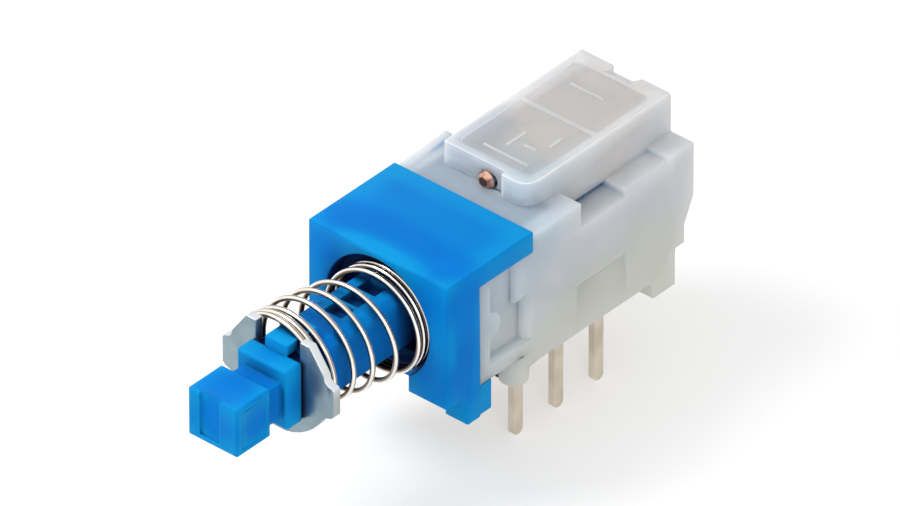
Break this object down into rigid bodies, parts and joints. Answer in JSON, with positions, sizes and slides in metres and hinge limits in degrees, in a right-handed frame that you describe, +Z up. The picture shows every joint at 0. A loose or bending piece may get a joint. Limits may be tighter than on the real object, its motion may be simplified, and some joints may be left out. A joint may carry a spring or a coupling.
{
  "type": "pushbutton switch",
  "caption": "Latching push switch for circuit boards: a plunger with a return spring slides in a low housing with terminals below.",
  "frame": {"origin": "on the board's surface, at the centre of the terminal pattern", "axes": "+Z up from the board, -Y the way the plunger points, +X to the right seen from the plunger's end"},
  "size_m": [0.0074, 0.0254, 0.0116],
  "materials": {
    "housing": "translucent natural nylon",
    "base": "laminated resin",
    "blue": "moulded acetal",
    "plate": "zinc plated sheet",
    "spring": "drawn stainless wire",
    "lock_wire": "copper coloured wire",
    "bronze": "phosphor bronze strip",
    "terminal": "tin plated"
  },
  "bodies": {
    "switch_body": {"housing": "housing", "terminal_base": "base", "front_frame": "blue", "return_spring": "spring", "lock_spring": "bronze", "terminal_left_front": "terminal", "terminal_left_middle": "terminal", "terminal_left_rear": "terminal", "terminal_right_front": "terminal", "terminal_right_middle": "terminal", "terminal_right_rear": "terminal"},
    "push_rod": {"plunger": "blue", "spring_plate": "plate", "contact_clip_left": "bronze", "contact_clip_right": "bronze"},
    "lock": {"lock_pin": "lock_wire"}
  },
  "joints": [
    {"name": "plunger_slide", "type": "slide", "parent": "switch_body", "child": "push_rod", "axis": [0, 1, 0], "range_m": [0, 0.0035], "stiffness_N_per_m": 500, "springref_m": -0.002, "deforming": ["return_spring"]},
    {"name": "lock_pin_swing", "type": "hinge", "parent": "switch_body", "child": "lock", "pos_m": [0, -0.001, 0.00751], "axis": [0, 0, 1], "range_deg": [0, 19.6]}
  ],
  "couplings": [
    {"joint": "lock_pin_swing", "follows": "plunger_slide", "rad_per_m": 97.1}
  ]
}
